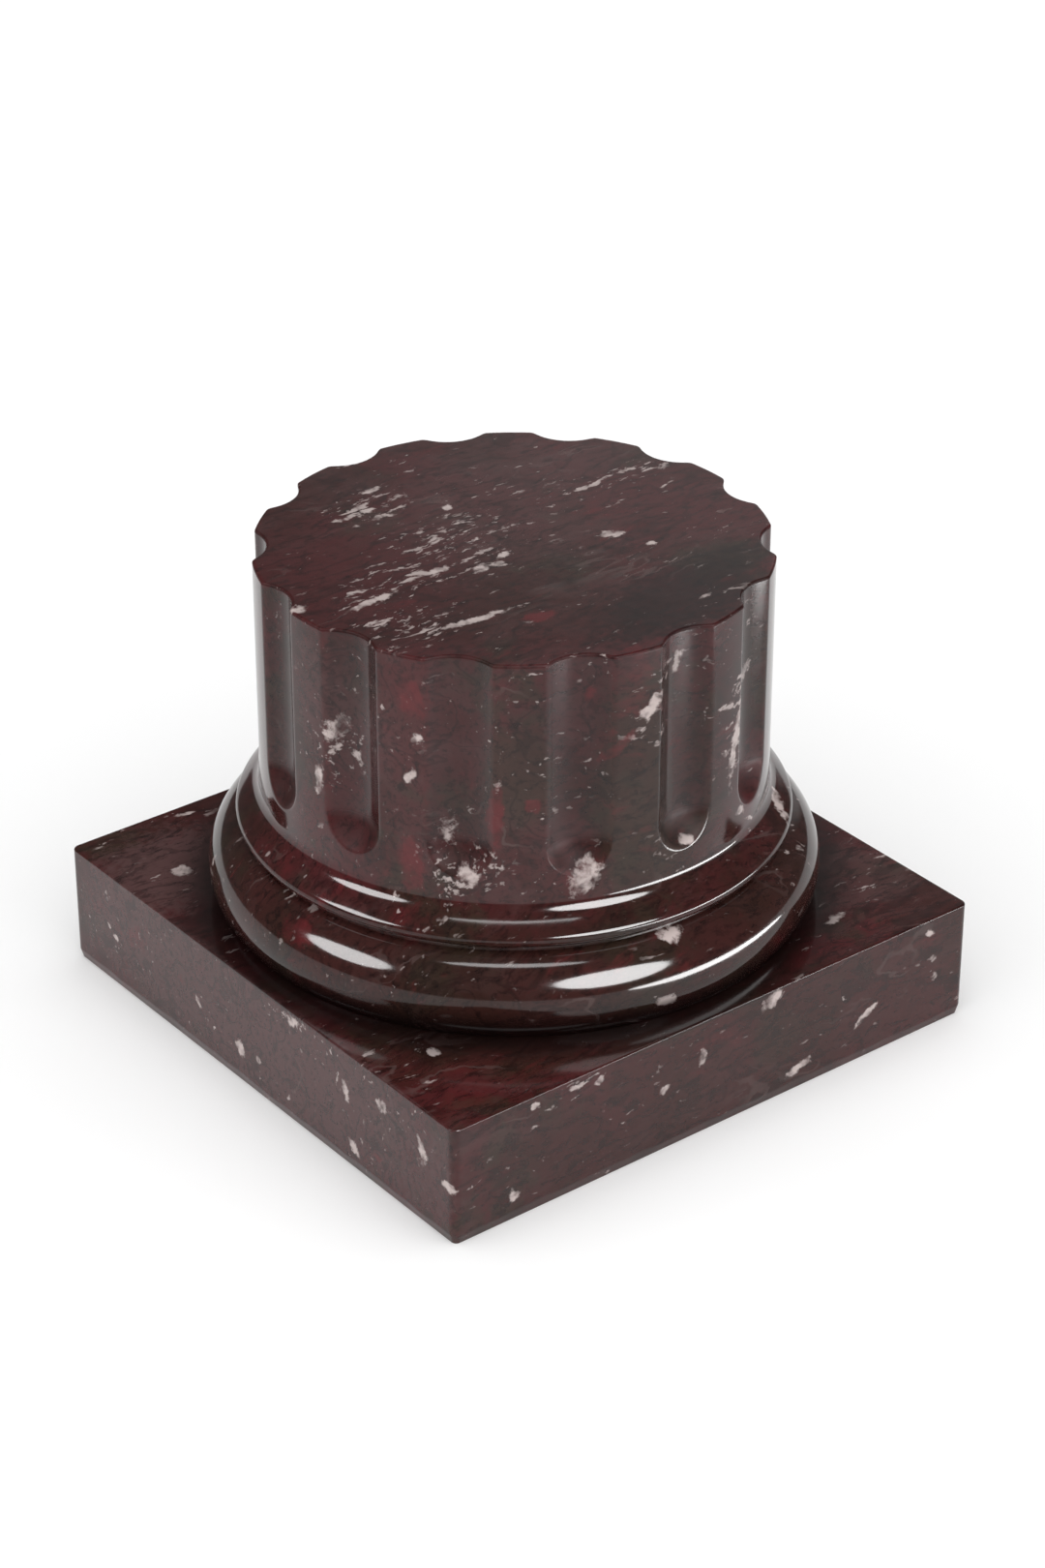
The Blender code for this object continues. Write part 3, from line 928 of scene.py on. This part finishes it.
def dim_room(sky, glow):
    """World of one dim grey, with a soft glow on the low part of the wall behind the pedestal.

    The polish mirrors this room. A camera that looks past the floor's edge sees it white, like the floor.
    """
    world = bpy.data.worlds.new("Dim room")
    world.use_nodes = True
    tree = world.node_tree
    facing = put(tree, "ShaderNodeTexCoord").outputs["Generated"]
    towards_wall = {0: facing, 1: toward(*WALL_MIDDLE)}
    nearness = put(tree, "ShaderNodeVectorMath", towards_wall, operation="DOT_PRODUCT").outputs["Value"]
    outer, inner = (math.cos(math.radians(edge)) for edge in WALL_EDGES)
    brightness = maths(tree, "ADD", step(tree, nearness, outer, inner, glow), sky)
    looked_at = put(tree, "ShaderNodeLightPath").outputs["Is Camera Ray"]
    brightness = maths(tree, "MAXIMUM", brightness, looked_at)
    tree.links.new(brightness, tree.nodes["Background"].inputs["Color"])
    return world


def pale_floor(size, tint):
    """A square level floor of one matt colour, its middle under the pedestal."""
    half = size / 2
    corners = [(-half, -half, 0), (half, -half, 0), (half, half, 0), (-half, half, 0)]
    mesh = bpy.data.meshes.new("Floor")
    mesh.from_pydata(corners, [], [(0, 1, 2, 3)])
    floor = bpy.data.objects.new("Floor", mesh)
    bpy.context.scene.collection.objects.link(floor)
    material = bpy.data.materials.new("Floor")
    material.use_nodes = True
    shader = material.node_tree.nodes["Principled BSDF"]
    shader.inputs["Base Color"].default_value = (*tint, 1.0)
    shader.inputs["Roughness"].default_value = FLOOR_ROUGHNESS
    shader.inputs["Specular IOR Level"].default_value = FLOOR_GLOSS
    mesh.materials.append(material)
    return floor


class PEDESTAL_OT_stage(bpy.types.Operator):
    """Lay the pale floor, set the soft lights and place the camera of the photograph"""

    bl_idname = "pedestal.stage"
    bl_label = "Stage"

    def execute(self, context):
        scene = context.scene
        stage = scene.pedestal_stage
        floor = pale_floor(stage.floor_size, stage.floor_colour)

        room_light(stage.room_light, *ROOM_LIGHT)
        soft_light("Right light", stage.right_power, *RIGHT_LIGHT)
        soft_light("Low right light", stage.low_power, *LOW_RIGHT_LIGHT)
        soft_light("Left light", stage.left_power, *LEFT_LIGHT)
        soft_light("Overhead light", stage.top_power, *OVERHEAD_LIGHT)
        scene.world = dim_room(stage.sky, stage.glow)

        lens = bpy.data.cameras.new("Camera")
        lens.lens = stage.lens
        camera = bpy.data.objects.new("Camera", lens)
        scene.collection.objects.link(camera)
        camera.location = CAMERA_PLACE
        camera.rotation_euler = Vector(CAMERA_BACK).to_track_quat("Z", "Y").to_euler()
        scene.camera = camera
        scene.view_settings.view_transform = "Standard"
        return {"FINISHED"}


OPERATORS = (PEDESTAL_OT_plinth, PEDESTAL_OT_column, PEDESTAL_OT_stage)
GROUPS = {
    "pedestal_mouldings": PedestalMouldings,
    "pedestal_flutes": PedestalFlutes,
    "pedestal_plinth": PedestalPlinth,
    "pedestal_marble": PedestalMarble,
    "pedestal_stage": PedestalStage,
}


class PEDESTAL_PT_sidebar(bpy.types.Panel):
    """Sizes, colours and steps of the pedestal"""

    bl_idname = "PEDESTAL_PT_sidebar"
    bl_label = "Marble pedestal"
    bl_space_type = "VIEW_3D"
    bl_region_type = "UI"
    bl_category = "Pedestal"

    def draw(self, context):
        for operator in OPERATORS:
            self.layout.operator(operator.bl_idname)
        for name in GROUPS:
            group = getattr(context.scene, name)
            box = self.layout.box()
            for key in group.bl_rna.properties.keys():
                if key not in ("rna_type", "name"):
                    box.prop(group, key)


def register():
    """Make the property groups, operators and panel known to Blender."""
    for name, group in GROUPS.items():
        bpy.utils.register_class(group)
        setattr(bpy.types.Scene, name, PointerProperty(type=group))
    for operator in OPERATORS:
        bpy.utils.register_class(operator)
    bpy.utils.register_class(PEDESTAL_PT_sidebar)


def unregister():
    """Take them away again."""
    bpy.utils.unregister_class(PEDESTAL_PT_sidebar)
    for operator in reversed(OPERATORS):
        bpy.utils.unregister_class(operator)
    for name, group in reversed(list(GROUPS.items())):
        delattr(bpy.types.Scene, name)
        bpy.utils.unregister_class(group)


def main():
    """Register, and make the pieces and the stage."""
    register()
    bpy.ops.pedestal.plinth()
    bpy.ops.pedestal.column()
    bpy.ops.pedestal.stage()


if __name__ == "__main__":
    main()
